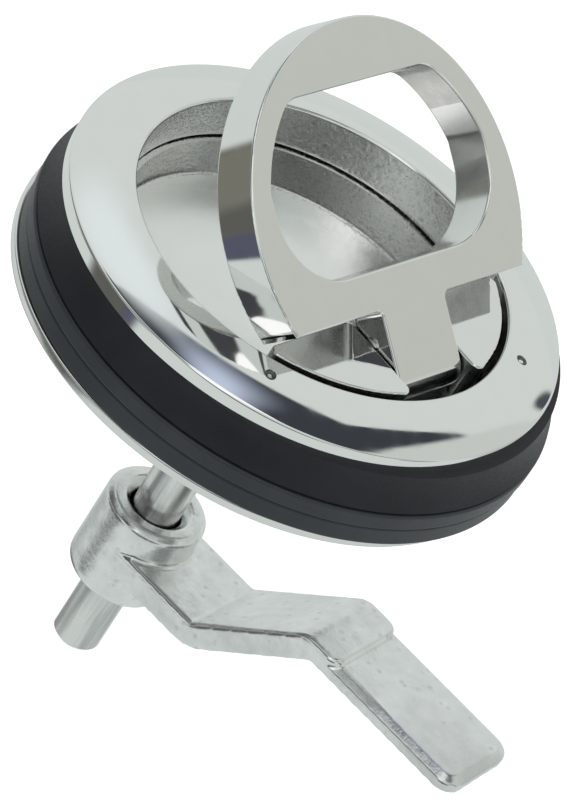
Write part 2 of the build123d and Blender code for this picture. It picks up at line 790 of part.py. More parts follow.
def make_thrust_washer():
    """Slippery washer between the turning cup and the cover."""
    outer = inner_radius - turning_clearance
    top = cover_top + thrust_washer_thickness
    return turned(
        [
            (outer - thrust_washer_width, cover_top),
            (outer, cover_top),
            (outer, top),
            (outer - thrust_washer_width, top),
        ]
    )


def make_bush():
    """Bearing bush for the spindle, above the shaft seal."""
    low = shaft_seal_z + shaft_seal_section_radius + shaft_seal_clearance
    bush = disc(bush_radius, low, cover_floor)
    return bush - disc(spindle_radius + pivot_clearance, low - overrun, cover_floor + overrun)


pieces = {
    "flange_body": make_flange_body(),
    "thick_gasket": make_thick_gasket(),
    "upper_washer": flat_washer(upper_washer_radius, upper_washer_bottom, gasket_bottom),
    "lower_washer": flat_washer(lower_washer_radius, lower_washer_bottom, upper_washer_bottom),
    "clamp_nut": make_clamp_nut(),
    "back_cover": make_back_cover(),
    "retaining_ring": make_circlip(),
    "thrust_washer": make_thrust_washer(),
    "stop_pin": make_stop_pin(),
    "spindle_bush": make_bush(),
    "shaft_seal": seal_ring(
        spindle_radius + shaft_seal_clearance + shaft_seal_section_radius,
        shaft_seal_section_radius,
        shaft_seal_z,
    ),
    "turning_cup": make_cup(),
    "cup_seal": seal_ring(
        inner_radius - seal_section_radius - seal_groove_clearance / 4,
        seal_section_radius,
        (cup_floor_top + cup_underside) / 2,
    ),
    "hinge_pin": cross_bar(hinge_x, hinge_z, hinge_pin_radius, hinge_pin_half_length()),
    "rocker_pin": cross_bar(fulcrum_x, fulcrum_z, rocker_pin_radius, cheek_outer),
    "ring_handle": make_ring_handle(),
    "link_pin": cross_bar(link_top_x, link_top_z, link_pin_radius, stem_half_width),
    "pull_link": make_link(),
    "rocker": make_rocker(),
    "rocker_link_pin": cross_bar(
        link_bottom_x,
        link_bottom_z,
        link_pin_radius,
        link_half_thickness + link_side_clearance + rocker_arm_thickness,
    ),
    "spindle": make_spindle(),
    "cross_pin": cross_bar(0, cross_pin_z, cross_pin_radius, cheek_outer - cheek_gap),
    "cam_arm": make_cam_arm(),
    "cam_screw": make_cam_screw(),
}

os.makedirs("parts", exist_ok=True)
for name, solid in pieces.items():
    export_step(solid, "parts/" + name + ".step")
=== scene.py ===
from math import acos, atan2, cos, pi, radians, sin, tan

import bmesh
import bpy
from mathutils import Matrix, Vector, noise


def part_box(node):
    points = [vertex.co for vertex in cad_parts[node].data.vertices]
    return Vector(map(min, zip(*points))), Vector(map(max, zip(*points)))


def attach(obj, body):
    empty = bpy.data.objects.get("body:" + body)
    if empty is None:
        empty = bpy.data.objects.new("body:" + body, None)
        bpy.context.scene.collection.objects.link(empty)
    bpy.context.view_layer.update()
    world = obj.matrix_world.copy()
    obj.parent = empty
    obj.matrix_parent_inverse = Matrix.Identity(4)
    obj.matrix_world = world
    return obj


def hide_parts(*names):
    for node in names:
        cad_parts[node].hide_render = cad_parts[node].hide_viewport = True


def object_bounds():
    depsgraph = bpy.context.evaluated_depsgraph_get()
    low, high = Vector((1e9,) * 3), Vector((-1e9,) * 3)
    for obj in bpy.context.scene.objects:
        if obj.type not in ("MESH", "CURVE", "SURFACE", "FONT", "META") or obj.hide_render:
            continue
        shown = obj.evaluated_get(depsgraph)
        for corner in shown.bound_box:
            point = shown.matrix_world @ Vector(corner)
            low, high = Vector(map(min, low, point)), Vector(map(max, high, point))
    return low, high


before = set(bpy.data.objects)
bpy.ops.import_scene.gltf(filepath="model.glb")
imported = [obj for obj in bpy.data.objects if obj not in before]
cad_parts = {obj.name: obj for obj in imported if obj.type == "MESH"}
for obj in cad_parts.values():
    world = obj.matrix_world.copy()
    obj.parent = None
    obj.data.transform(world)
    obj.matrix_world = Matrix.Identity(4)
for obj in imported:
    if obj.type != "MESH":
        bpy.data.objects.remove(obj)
cad_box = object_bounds()

# Camera
# A long lens from above and to one side, tipped so that the spindle leans in the picture.
# The place and the turn are those of the photograph, in metres and degrees.
camera_place = Vector((0.24696, -0.51223, 0.39972))
aim_point = Vector((0.01055, -0.00638, -0.01424))
camera_roll = 33.25
camera_data = bpy.data.cameras.new("latch_camera")
camera_data.lens = 225
camera_data.sensor_width = 36
camera_data.clip_start = 0.01
camera = bpy.data.objects.new("latch_camera", camera_data)
bpy.context.scene.collection.objects.link(camera)
look = (aim_point - camera_place).to_track_quat("-Z", "Y").to_matrix().to_4x4()
roll = Matrix.Rotation(radians(camera_roll), 4, "Z")
camera.matrix_world = Matrix.Translation(camera_place) @ look @ roll
bpy.context.scene.camera = camera
bpy.context.scene.view_settings.view_transform = "Standard"


# Studio
# A pale tent with soft dark openings in it, which is what the polished steel mirrors.
# Each opening is an azimuth, an elevation, half a width and half a height in degrees, with
# the softness of its edge and its colour. Later openings lie over earlier ones.
def add(tree, kind, sockets=(), **settings):
    """Adds a node: a socket given as a value is set, and one given as a socket is linked."""
    node = tree.nodes.new(kind)
    for key, value in settings.items():
        setattr(node, key, value)
    for key, value in dict(sockets).items():
        if isinstance(value, bpy.types.NodeSocket):
            tree.links.new(value, node.inputs[key])
        else:
            node.inputs[key].default_value = value
    return node


def math(tree, operation, first, second=0.0):
    """The result of a Math node."""
    return add(tree, "ShaderNodeMath", {0: first, 1: second}, operation=operation).outputs[0]


def blended(tree, mask, first, second):
    """Two colours mixed by a mask."""
    return add(tree, "ShaderNodeMix", {0: mask, 6: first, 7: second}, data_type="RGBA").outputs[2]


def new_group(name, inputs, outputs):
    """An empty shader group with its named inputs and outputs."""
    group = bpy.data.node_groups.new(name, "ShaderNodeTree")
    for label, kind, value in inputs:
        socket = group.interface.new_socket(label, in_out="INPUT", socket_type=kind)
        if value is not None:
            socket.default_value = value
    for label, kind in outputs:
        group.interface.new_socket(label, in_out="OUTPUT", socket_type=kind)
    start = group.nodes.new("NodeGroupInput")
    end = group.nodes.new("NodeGroupOutput")
    return group, start.outputs, end


def use_group(tree, group, sockets):
    """Places a shader group in a tree."""
    node = tree.nodes.new("ShaderNodeGroup")
    node.node_tree = group
    for key, value in sockets.items():
        if isinstance(value, bpy.types.NodeSocket):
            tree.links.new(value, node.inputs[key])
        else:
            node.inputs[key].default_value = value
    return node.outputs


def tent_opening():
    """A soft oval in the tent, as a mask of the direction."""
    inputs = [
        ("Direction", "NodeSocketVector", None),
        ("Azimuth", "NodeSocketFloat", 0.0),
        ("Elevation", "NodeSocketFloat", 0.0),
        ("Half Width", "NodeSocketFloat", 20.0),
        ("Half Height", "NodeSocketFloat", 10.0),
        ("Softness", "NodeSocketFloat", 0.4),
    ]
    group, given, end = new_group("tent_opening", inputs, [("Mask", "NodeSocketFloat")])
    back = math(group, "MULTIPLY", given["Azimuth"], -pi / 180)
    turning = {"Vector": given["Direction"], "Angle": back}
    turned = add(group, "ShaderNodeVectorRotate", turning, rotation_type="Z_AXIS")
    parts = add(group, "ShaderNodeSeparateXYZ", {0: turned.outputs[0]}).outputs
    across = math(group, "DEGREES", math(group, "ARCTAN2", parts[1], parts[0]))
    above = math(group, "DEGREES", math(group, "ARCSINE", parts[2]))
    across = math(group, "DIVIDE", across, given["Half Width"])
    above = math(group, "SUBTRACT", above, given["Elevation"])
    above = math(group, "DIVIDE", above, given["Half Height"])
    squares = [math(group, "POWER", part, 2.0) for part in (across, above)]
    reach = math(group, "SQRT", math(group, "ADD", *squares))
    inside = math(group, "SUBTRACT", 1.0, given["Softness"])
    outside = math(group, "ADD", 1.0, given["Softness"])
    fade = {"Value": reach, "From Min": inside, "From Max": outside, "To Min": 1.0, "To Max": 0.0}
    fade = add(group, "ShaderNodeMapRange", fade, interpolation_type="SMOOTHSTEP")
    group.links.new(fade.outputs[0], end.inputs[0])
    return group


world = bpy.data.worlds.new("studio")
bpy.context.scene.world = world
world.use_nodes = True
sky = world.node_tree
sky.nodes.clear()
tent_pale = (0.655, 0.705, 0.685, 1)
openings = [
    (115, 72, 90, 16, 0.04, (0.045, 0.05, 0.06, 1)),  # dark ceiling
    (124, 78, 20, 9, 0.8, (0.55, 0.62, 0.78, 1)),  # cool glow in the ceiling
    (115, 90, 400, 10.5, 0.04, (1.08, 1.08, 1.12, 1)),  # bright zenith
    (126, 40, 62, 25.5, 0.03, (0.68, 0.72, 0.70, 1)),  # pale far wall
    (146, 54, 15, 12, 0.6, (0.80, 0.86, 0.87, 1)),  # bright spot on the far wall
    (84, 62, 7, 18, 0.06, (0.045, 0.05, 0.06, 1)),  # dark strip beside the far wall
    (60, 36, 26, 28, 0.05, (0.60, 0.635, 0.605, 1)),  # pale wall on the right
    (55, 27, 13, 10, 0.8, (0.55, 0.565, 0.52, 1)),  # warm spot on the right wall
    (89, 23.5, 1.8, 4, 0.35, (0.07, 0.08, 0.09, 1)),  # narrow dark slot
    (54, -8, 14, 8, 0.3, (0.30, 0.31, 0.30, 1)),  # grey panel low on the right
    (167, 68, 7, 9, 0.3, (0.085, 0.09, 0.10, 1)),  # dark patch high on the left
    (228, -20, 30, 20, 0.08, (0.115, 0.115, 0.105, 1)),  # dark low wall on the left
    (214, -16, 14, 11, 0.3, (0.19, 0.19, 0.16, 1)),  # brown patch in the low wall
    (241, -32.5, 6, 5, 0.2, (0.095, 0.10, 0.145, 1)),  # blue patch in the low wall
    (212, 20, 36, 17, 0.4, (0.12, 0.12, 0.115, 1)),  # dim wall behind on the left
    (256, 41, 22, 17, 0.12, (0.06, 0.062, 0.07, 1)),  # dark hood left of the lamps
    (284, 46, 11, 11, 0.06, (1.25, 1.25, 1.25, 1)),  # small lamp
    (290, 66, 24, 11, 0.1, (1.25, 1.25, 1.25, 1)),  # large lamp
    (306, 2, 33, 17, 0.25, (0.075, 0.078, 0.08, 1)),  # dark room behind the camera
    (5, 42, 24, 10, 0.4, (0.20, 0.21, 0.20, 1)),  # grey wall far right
    (160, -52, 36, 12, 0.4, (0.17, 0.17, 0.17, 1)),  # dim far floor
    (16, 11, 9, 8, 0.15, (0.06, 0.065, 0.075, 1)),  # dark patch far right
]
direction = add(sky, "ShaderNodeTexCoord").outputs["Generated"]
oval = tent_opening()
tone = add(sky, "ShaderNodeRGB")
tone.outputs[0].default_value = tent_pale
tone = tone.outputs[0]
for azimuth, elevation, half_width, half_height, softness, colour in openings:
    place = {"Direction": direction, "Azimuth": azimuth, "Elevation": elevation}
    spread = {"Half Width": half_width, "Half Height": half_height, "Softness": softness}
    mask = use_group(sky, oval, place | spread)[0]
    tone = blended(sky, mask, tone, colour)
seen = add(sky, "ShaderNodeLightPath").outputs["Is Camera Ray"]
tone = blended(sky, seen, tone, (1, 1, 1, 1))
light = add(sky, "ShaderNodeBackground", {"Color": tone, "Strength": 1.0})
add(sky, "ShaderNodeOutputWorld", {"Surface": light.outputs[0]})

# Floor
# A white sheet just under the spindle's end. It keeps a faint shadow for the camera.
# Reflections look through it, so that the steel mirrors the tent alone.
floor_gap = 0.0004
floor_half = 3.0
floor_glow = 0.72
floor_z = cad_box[0][2] - floor_gap
floor_mesh = bpy.data.meshes.new("floor")
corners = [(-1, -1), (1, -1), (1, 1), (-1, 1)]
floor_points = [(floor_half * x, floor_half * y, floor_z) for x, y in corners]
floor_mesh.from_pydata(floor_points, [], [(0, 1, 2, 3)])
floor = bpy.data.objects.new("floor", floor_mesh)
bpy.context.scene.collection.objects.link(floor)


def new_material(name):
    """An empty node material."""
    material = bpy.data.materials.new(name)
    material.use_nodes = True
    material.node_tree.nodes.clear()
    return material, material.node_tree


white_sheet, tree = new_material("white_sheet")
matt = add(tree, "ShaderNodeBsdfDiffuse", {"Color": (0.8, 0.8, 0.8, 1)}).outputs[0]
glow = add(tree, "ShaderNodeEmission", {"Color": (1, 1, 1, 1), "Strength": floor_glow}).outputs[0]
path = add(tree, "ShaderNodeLightPath").outputs
shown = add(tree, "ShaderNodeAddShader", {0: matt, 1: glow}).outputs[0]
shown = add(tree, "ShaderNodeMixShader", {0: path["Is Camera Ray"], 1: matt, 2: shown}).outputs[0]
clear = add(tree, "ShaderNodeBsdfTransparent").outputs[0]
shown = add(tree, "ShaderNodeMixShader", {0: path["Is Glossy Ray"], 1: shown, 2: clear}).outputs[0]
add(tree, "ShaderNodeOutputMaterial", {"Surface": shown})
floor_mesh.materials.append(white_sheet)


# Flange body
# One investment casting of stainless steel: the domed rim, its bore and the threaded tube.
# The dome is polished by hand to a mirror, and the bore's wall stays as it was cast.
mm = 0.001
flange_low, flange_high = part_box("flange_body")
flange_radius = flange_high.x
rim_height = 2.1 * mm
face_top = 4.35 * mm
crown = 0.35 * mm
bore_radius = 28.65 * mm
lip_bottom = -2.65 * mm
tube_inner = 30.05 * mm
tube_outer = 32.0 * mm
tube_bottom = flange_low.z
thread_root = tube_outer - 0.45 * mm
circlip_groove = (-17.9 * mm, -16.6 * mm, 0.9 * mm)
around = 288


def arc(start, end, bulge, count):
    """Points of a round line from start to end that stands proud by bulge in the middle."""
    middle = (start + end) / 2 + Vector((0, bulge))
    a, b, c = start, middle, end
    d = 2 * (a.x * (b.y - c.y) + b.x * (c.y - a.y) + c.x * (a.y - b.y))
    aa, bb, cc = a.length_squared, b.length_squared, c.length_squared
    centre = Vector((
        (aa * (b.y - c.y) + bb * (c.y - a.y) + cc * (a.y - b.y)) / d,
        (aa * (c.x - b.x) + bb * (a.x - c.x) + cc * (b.x - a.x)) / d,
    ))
    first = atan2(*(start - centre).yx)
    last = atan2(*(end - centre).yx)
    radius = (start - centre).length
    angles = [first + (last - first) * i / count for i in range(count + 1)]
    return [centre + radius * Vector((cos(t), sin(t))) for t in angles]


def rounded(outline, rounds, steps=6):
    """Rounds chosen corners of a closed outline, each by its own radius."""
    result = []
    for i, corner in enumerate(outline):
        radius = rounds.get(i, 0)
        if not radius:
            result.append(corner)
            continue
        back = (outline[i - 1] - corner).normalized()
        ahead = (outline[(i + 1) % len(outline)] - corner).normalized()
        half = acos(max(-1, min(1, back.dot(ahead)))) / 2
        reach = radius / tan(half)
        centre = corner + (back + ahead).normalized() * radius / sin(half)
        start = corner + back * reach - centre
        end = corner + ahead * reach - centre
        turn = atan2(start.x * end.y - start.y * end.x, start.dot(end))
        for k in range(steps + 1):
            result.append(centre + Matrix.Rotation(turn * k / steps, 2) @ start)
    return result


def settled(thing):
    """The plain mesh of an object with its modifiers worked in."""
    bpy.context.view_layer.update()
    shaped = thing.evaluated_get(bpy.context.evaluated_depsgraph_get())
    return bpy.data.meshes.new_from_object(shaped)


def finish_mesh(name, mesh, body, nodes, materials, sharp_degrees=32):
    """Makes the mesh an object with smooth faces and crisp edges, and puts it on its body."""
    thing = bpy.data.objects.new(name, mesh)
    bpy.context.scene.collection.objects.link(thing)
    for material in materials:
        mesh.materials.append(material)
    mesh.shade_smooth()
    mesh.set_sharp_from_angle(angle=radians(sharp_degrees))
    weights = thing.modifiers.new("even_normals", "WEIGHTED_NORMAL")
    weights.keep_sharp = True
    final = settled(thing)
    thing.modifiers.remove(weights)
    thing.data = final
    final.name = name
    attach(thing, body)
    if nodes:
        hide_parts(*nodes)
    return thing


def turned_mesh(name, outline, centre=Vector((0, 0)), count=around):
    """A closed outline of radius and height, turned about an upright axis."""
    bm = bmesh.new()
    rings = []
    for point in outline:
        ring = []
        for k in range(count):
            angle = 2 * pi * k / count
            x = centre.x + point.x * cos(angle)
            y = centre.y + point.x * sin(angle)
            ring.append(bm.verts.new((x, y, point.y)))
        rings.append(ring)
    for i, ring in enumerate(rings):
        other = rings[(i + 1) % len(rings)]
        for k in range(count):
            bm.faces.new((ring[k], ring[(k + 1) % count], other[(k + 1) % count], other[k]))
    bmesh.ops.recalc_face_normals(bm, faces=bm.faces)
    mesh = bpy.data.meshes.new(name)
    bm.to_mesh(mesh)
    bm.free()
    return mesh


def cut_away(mesh, cutter):
    """What is left of a mesh when the cutter's body is taken out of it."""
    blank = bpy.data.objects.new("blank", mesh)
    tool = bpy.data.objects.new("tool", cutter)
    for thing in (blank, tool):
        bpy.context.scene.collection.objects.link(thing)
    trim = blank.modifiers.new("trim", "BOOLEAN")
    trim.object = tool
    trim.operation = "DIFFERENCE"
    trim.solver = "EXACT"
    rest = settled(blank)
    for thing in (blank, tool):
        bpy.data.objects.remove(thing)
    return rest


def clouds(tree, place, scale, detail, roughness=0.5):
    """Soft random clouds at one scale."""
    sockets = {"Vector": place, "Scale": scale, "Detail": detail, "Roughness": roughness}
    return add(tree, "ShaderNodeTexNoise", sockets).outputs[0]


def remapped(tree, value, low, high, to_low=0.0, to_high=1.0):
    """A value stretched from one range to another, and held inside it."""
    sockets = {"Value": value, "From Min": low, "From Max": high}
    sockets |= {"To Min": to_low, "To Max": to_high}
    return add(tree, "ShaderNodeMapRange", sockets).outputs[0]


def raised(tree, pattern, height, under=None):
    """Relief of a pattern at a height in metres, laid over other relief."""
    sockets = {"Height": pattern, "Strength": 1.0, "Distance": height}
    if under is not None:
        sockets["Normal"] = under
    return add(tree, "ShaderNodeBump", sockets).outputs[0]


def metal_surface(tree, colour, rough, relief):
    """Ends a metal's material in its shader."""
    sockets = {"Base Color": colour, "Metallic": 1.0, "Roughness": rough, "Normal": relief}
    shader = add(tree, "ShaderNodeBsdfPrincipled", sockets)
    add(tree, "ShaderNodeOutputMaterial", {"Surface": shader.outputs[0]})


def polish_group():
    """Hand polish: slow waves left by the wheel, a faint haze and fine hairlines."""
    inputs = [
        ("Vector", "NodeSocketVector", None),
        ("Wave Scale", "NodeSocketFloat", 120.0),
        ("Hairline Scale", "NodeSocketFloat", 2500.0),
    ]
    outputs = [(label, "NodeSocketFloat") for label in ("Waves", "Haze", "Hairlines")]
    group, given, end = new_group("hand_polish", inputs, outputs)
    place = given["Vector"]
    waves = clouds(group, place, given["Wave Scale"], detail=1.5)
    haze = clouds(group, place, math(group, "MULTIPLY", given["Wave Scale"], 3.3), detail=5.0)
    stretch = {"Vector": place, "Rotation": (0.3, 0.2, 0.7), "Scale": (1, 0.04, 1)}
    stretched = add(group, "ShaderNodeMapping", stretch).outputs[0]
    hairlines = clouds(group, stretched, given["Hairline Scale"], detail=2.0)
    for k, pattern in enumerate((waves, haze, hairlines)):
        group.links.new(pattern, end.inputs[k])
    return group


def cast_group():
    """Cast skin: fine sand grain over soft lumps, with scattered pits."""
    inputs = [("Vector", "NodeSocketVector", None), ("Grain Scale", "NodeSocketFloat", 2200.0)]
    outputs = [(label, "NodeSocketFloat") for label in ("Grain", "Lumps", "Pits")]
    group, given, end = new_group("cast_skin", inputs, outputs)
    place = given["Vector"]
    grain = clouds(group, place, given["Grain Scale"], detail=3.0, roughness=0.6)
    lumps = clouds(group, place, math(group, "MULTIPLY", given["Grain Scale"], 0.18), detail=2.0)
    pit_scale = math(group, "MULTIPLY", given["Grain Scale"], 0.32)
    cells = add(group, "ShaderNodeTexVoronoi", {"Vector": place, "Scale": pit_scale})
    pits = remapped(group, cells.outputs["Distance"], 0.05, 0.28, to_low=1.0, to_high=0.0)
    for k, pattern in enumerate((grain, lumps, pits)):
        group.links.new(pattern, end.inputs[k])
    return group


hand_polish = polish_group()
cast_skin = cast_group()


def polished_steel(name, tint, wave_height=0.004, haze_low=0.03, haze_high=0.09):
    """Mirror polished stainless steel."""
    material, tree = new_material(name)
    place = add(tree, "ShaderNodeTexCoord").outputs["Object"]
    worn = use_group(tree, hand_polish, {"Vector": place})
    hairline_depth = 0.00003 * mm
    pale = tuple(min(1, c * 1.04) for c in tint[:3]) + (1,)
    colour = blended(tree, worn["Haze"], tint, pale)
    rough = remapped(tree, worn["Haze"], 0.3, 0.75, haze_low, haze_high)
    relief = raised(tree, worn["Waves"], wave_height * mm)
    relief = raised(tree, worn["Hairlines"], hairline_depth, relief)
    metal_surface(tree, colour, rough, relief)
    return material


def cast_steel(name, tint, dark, rough, grain_scale, grain_height, lump_height):
    """Stainless steel as it was cast, tumbled or blasted, darker in its pits."""
    material, tree = new_material(name)
    place = add(tree, "ShaderNodeTexCoord").outputs["Object"]
    skin = use_group(tree, cast_skin, {"Vector": place, "Grain Scale": grain_scale})
    colour = blended(tree, math(tree, "MULTIPLY", skin["Pits"], 0.5), tint, dark)
    roughness = remapped(tree, skin["Grain"], 0.3, 0.7, *rough)
    relief = raised(tree, skin["Lumps"], lump_height * mm)
    relief = raised(tree, skin["Grain"], grain_height * mm, relief)
    metal_surface(tree, colour, roughness, relief)
    return material


steel_tint = (0.86, 0.86, 0.85, 1)
flange_polish = polished_steel("flange_polish", steel_tint)
bore_cast = cast_steel(
    "bore_cast", (0.88, 0.88, 0.87, 1), (0.50, 0.50, 0.50, 1),
    rough=(0.16, 0.32), grain_scale=1500, grain_height=0.10, lump_height=0.06,
)
dome_foot = Vector((flange_radius, rim_height))
dome = arc(dome_foot, Vector((bore_radius, face_top)), bulge=crown, count=20)
flange_outline = [Vector((flange_radius, 0))] + dome
bore_corner = len(flange_outline) - 1
flange_outline += [
    Vector((bore_radius, lip_bottom)),
    Vector((tube_inner, lip_bottom)),
    Vector((tube_inner, circlip_groove[1])),
    Vector((tube_inner + circlip_groove[2], circlip_groove[1])),
    Vector((tube_inner + circlip_groove[2], circlip_groove[0])),
    Vector((tube_inner, circlip_groove[0])),
    Vector((tube_inner, tube_bottom)),
    Vector((thread_root, tube_bottom)),
    Vector((thread_root, 0)),
]
flange_outline = rounded(flange_outline, {1: 0.4 * mm, bore_corner: 0.5 * mm})
flange_mesh = turned_mesh("flange_body_polished", flange_outline)
mark_circle = 31.75 * mm
mark_radius = 0.85 * mm
mark_depth = 0.35 * mm
mark_azimuths = (-58.5, 31.5)
drill_core = 0.02 * mm
mark_top = min(point.y for point in dome if point.x <= mark_circle)
mark_outline = [
    Vector((drill_core, face_top + mm)),
    Vector((drill_core, mark_top - 0.8 * mark_depth)),
    Vector((0.4 * mark_radius, mark_top - 0.9 * mark_depth)),
    Vector((0.75 * mark_radius, mark_top - mark_depth)),
    Vector((mark_radius, mark_top - 0.6 * mark_depth)),
    Vector((mark_radius, face_top + mm)),
]
mark_places = [mark_circle * Vector((cos(radians(a)), sin(radians(a)))) for a in mark_azimuths]
for place in mark_places:
    mark = turned_mesh("index_mark", mark_outline, place, count=40)
    flange_mesh = cut_away(flange_mesh, mark)
# Painted shade: a dark grey cast steel laid on the faces in the gap beside the hinge block, where
# shade falls.
gap_painted_shade = cast_steel(
    "gap_painted_shade", (0.34, 0.34, 0.34, 1), (0.2, 0.2, 0.2, 1),
    rough=(0.25, 0.4), grain_scale=1500, grain_height=0.01, lump_height=0.02,
)
# Painted shade: a near-black cast steel laid round the walls of the index marks, where shade falls
# in their hollows.
mark_painted_shade = cast_steel(
    "mark_painted_shade", (0.16, 0.16, 0.16, 1), (0.08, 0.08, 0.08, 1),
    rough=(0.3, 0.5), grain_scale=2500, grain_height=0.02, lump_height=0.01,
)
flange = finish_mesh(
    "flange_body_polished", flange_mesh, "housing", ["flange_body"],
    [flange_polish, bore_cast, gap_painted_shade, mark_painted_shade],
)
# The bore's wall is bright round the recess, and painted dark beside the hinge block as the shade
# in the gap.
# The index marks are painted dark round their rims as the shade in their hollows.
bright_wall, shaded_wall, mark_shade = 1, 2, 3
block_side = 12.6 * mm
lip_round = 0.5 * mm
wall_reach = 0.05 * mm
mark_lip = mark_top + 0.1 * mm
shade_inner = 0.45 * mark_radius
shade_outer = 0.98 * mark_radius
dome_face_area = 0.3 * mark_radius ** 2
for face in flange.data.polygons:
    foot = Vector(face.center[:2])
    if abs(foot.length - bore_radius) < wall_reach and face.center.z < face_top - lip_round:
        face.material_index = shaded_wall if face.center.x > block_side else bright_wall
    elif face.center.z < mark_lip and abs(foot.length - mark_circle) < 0.9 * mark_radius:
        near = min((foot - place).length for place in mark_places)
        if shade_inner < near < shade_outer and face.area < dome_face_area:
            face.material_index = mark_shade


# Gasket and washers
# A thick moulded rubber ring with a flared flank, a grey upper washer and a lower washer.
# They lie loose round the tube, a little off centre, until the nut presses them to the panel.
def middle_of(node):
    """The upright axis of a ring, from its box."""
    low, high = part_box(node)
    return Vector(((low.x + high.x) / 2, (low.y + high.y) / 2))


def moulded(name, tint, pale, rough, grain_height):
    """Rubber or plastic with a faint bloom and a fine moulded grain."""
    material, tree = new_material(name)
    place = add(tree, "ShaderNodeTexCoord").outputs["Object"]
    skin = use_group(tree, cast_skin, {"Vector": place, "Grain Scale": 3500.0})
    bloom = clouds(tree, place, scale=160.0, detail=4.0)
    bloom = remapped(tree, bloom, 0.35, 0.75)
    shader = {
        "Base Color": blended(tree, bloom, tint, pale),
        "Roughness": remapped(tree, skin["Grain"], 0.3, 0.7, *rough),
        "Normal": raised(tree, skin["Grain"], grain_height * mm),
        "Specular IOR Level": 0.4,
    }
    shader = add(tree, "ShaderNodeBsdfPrincipled", shader)
    add(tree, "ShaderNodeOutputMaterial", {"Surface": shader.outputs[0]})
    return material


black_rubber = moulded(
    "black_rubber", (0.013, 0.013, 0.019, 1), (0.020, 0.020, 0.028, 1),
    rough=(0.42, 0.62), grain_height=0.01,
)
grey_plastic = moulded(
    "grey_plastic", (0.040, 0.045, 0.054, 1), (0.052, 0.058, 0.068, 1),
    rough=(0.34, 0.5), grain_height=0.006,
)
ring_bore = tube_outer + 1.0 * mm
gasket_top = 38.4 * mm
gasket_foot = 40.3 * mm
washer_radii = {"upper_washer": 40.3 * mm, "lower_washer": 40.1 * mm}
washer_round = 0.45 * mm
low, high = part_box("thick_gasket")
flank = [Vector((gasket_top, high.z)), Vector((gasket_foot, low.z))]
waist = 0.35 * mm
steps = 12
slope = flank[1] - flank[0]
inward = Vector((slope.y, -slope.x)).normalized() * waist
shares = [k / steps for k in range(steps + 1)]
flank = [flank[0] + slope * share + inward * 4 * share * (1 - share) for share in shares]
outline = [Vector((ring_bore, high.z))] + flank + [Vector((ring_bore, low.z))]
outline = rounded(outline, {steps + 1: 0.5 * mm, 1: 0.15 * mm})
gasket_mesh = turned_mesh("thick_gasket_rubber", outline, middle_of("thick_gasket"))
finish_mesh(
    "thick_gasket_rubber", gasket_mesh, "housing", ["thick_gasket"],
    [black_rubber],
)
for node, radius in washer_radii.items():
    low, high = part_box(node)
    corners = [(ring_bore, low.z), (radius, low.z), (radius, high.z), (ring_bore, high.z)]
    outline = rounded([Vector(corner) for corner in corners], {1: washer_round, 2: washer_round})
    mesh = turned_mesh(node + "_plastic", outline, middle_of(node))
    finish_mesh(node + "_plastic", mesh, "housing", [node], [grey_plastic])


# Clamp nut
# A ring nut cut from stainless steel: a thin polished flange, and under it a hub with six
# notches for a hook spanner. It screws up the tube and clamps the rings to the panel.
def merged_copy(node, name):
    """A copy of a CAD node's mesh with its loose triangles joined."""
    bm = bmesh.new()
    bm.from_mesh(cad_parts[node].data)
    bmesh.ops.remove_doubles(bm, verts=bm.verts, dist=0.0005 * mm)
    mesh = bpy.data.meshes.new(name)
    bm.to_mesh(mesh)
    bm.free()
    return mesh


def dressed(node, name, body, material):
    """A copy of a CAD node with smooth faces and crisp edges, which stands for the node."""
    return finish_mesh(name, merged_copy(node, name), body, [node], [material])


def new_tree(name, inputs):
    """An empty geometry tree with its named inputs, which gives back a geometry."""
    tree = bpy.data.node_groups.new(name, "GeometryNodeTree")
    for label, kind, value in inputs:
        socket = tree.interface.new_socket(label, in_out="INPUT", socket_type=kind)
        if value is not None:
            socket.default_value = value
    tree.interface.new_socket("Geometry", in_out="OUTPUT", socket_type="NodeSocketGeometry")
    return tree, tree.nodes.new("NodeGroupInput").outputs, tree.nodes.new("NodeGroupOutput")


def grown(mesh, tree, values):
    """The mesh that a geometry tree makes of another."""
    thing = bpy.data.objects.new("blank", mesh)
    bpy.context.scene.collection.objects.link(thing)
    maker = thing.modifiers.new("maker", "NODES")
    maker.node_group = tree
    for item in tree.interface.items_tree:
        if item.in_out == "INPUT" and item.name in values:
            maker[item.identifier] = values[item.name]
    made = settled(thing)
    thing.modifiers.remove(maker)
    bpy.data.objects.remove(thing)
    return made


def coated(tree, shape, finish):
    """The shape as real geometry in one material."""
    shape = add(tree, "GeometryNodeRealizeInstances", {0: shape}).outputs[0]
    sockets = {"Geometry": shape, "Material": finish}
    return add(tree, "GeometryNodeSetMaterial", sockets).outputs[0]


def fanned_out(tree, shape, count):
    """Copies of a shape turned in equal steps about the upright axis, as real geometry."""
    points = add(tree, "GeometryNodePoints", {"Count": count}).outputs[0]
    step = math(tree, "DIVIDE", 2 * pi, count)
    turn = math(tree, "MULTIPLY", add(tree, "GeometryNodeInputIndex").outputs[0], step)
    turn = add(tree, "ShaderNodeCombineXYZ", {"Z": turn}).outputs[0]
    copies = {"Points": points, "Instance": shape, "Rotation": turn}
    copies = add(tree, "GeometryNodeInstanceOnPoints", copies).outputs[0]
    return add(tree, "GeometryNodeRealizeInstances", {0: copies}).outputs[0]


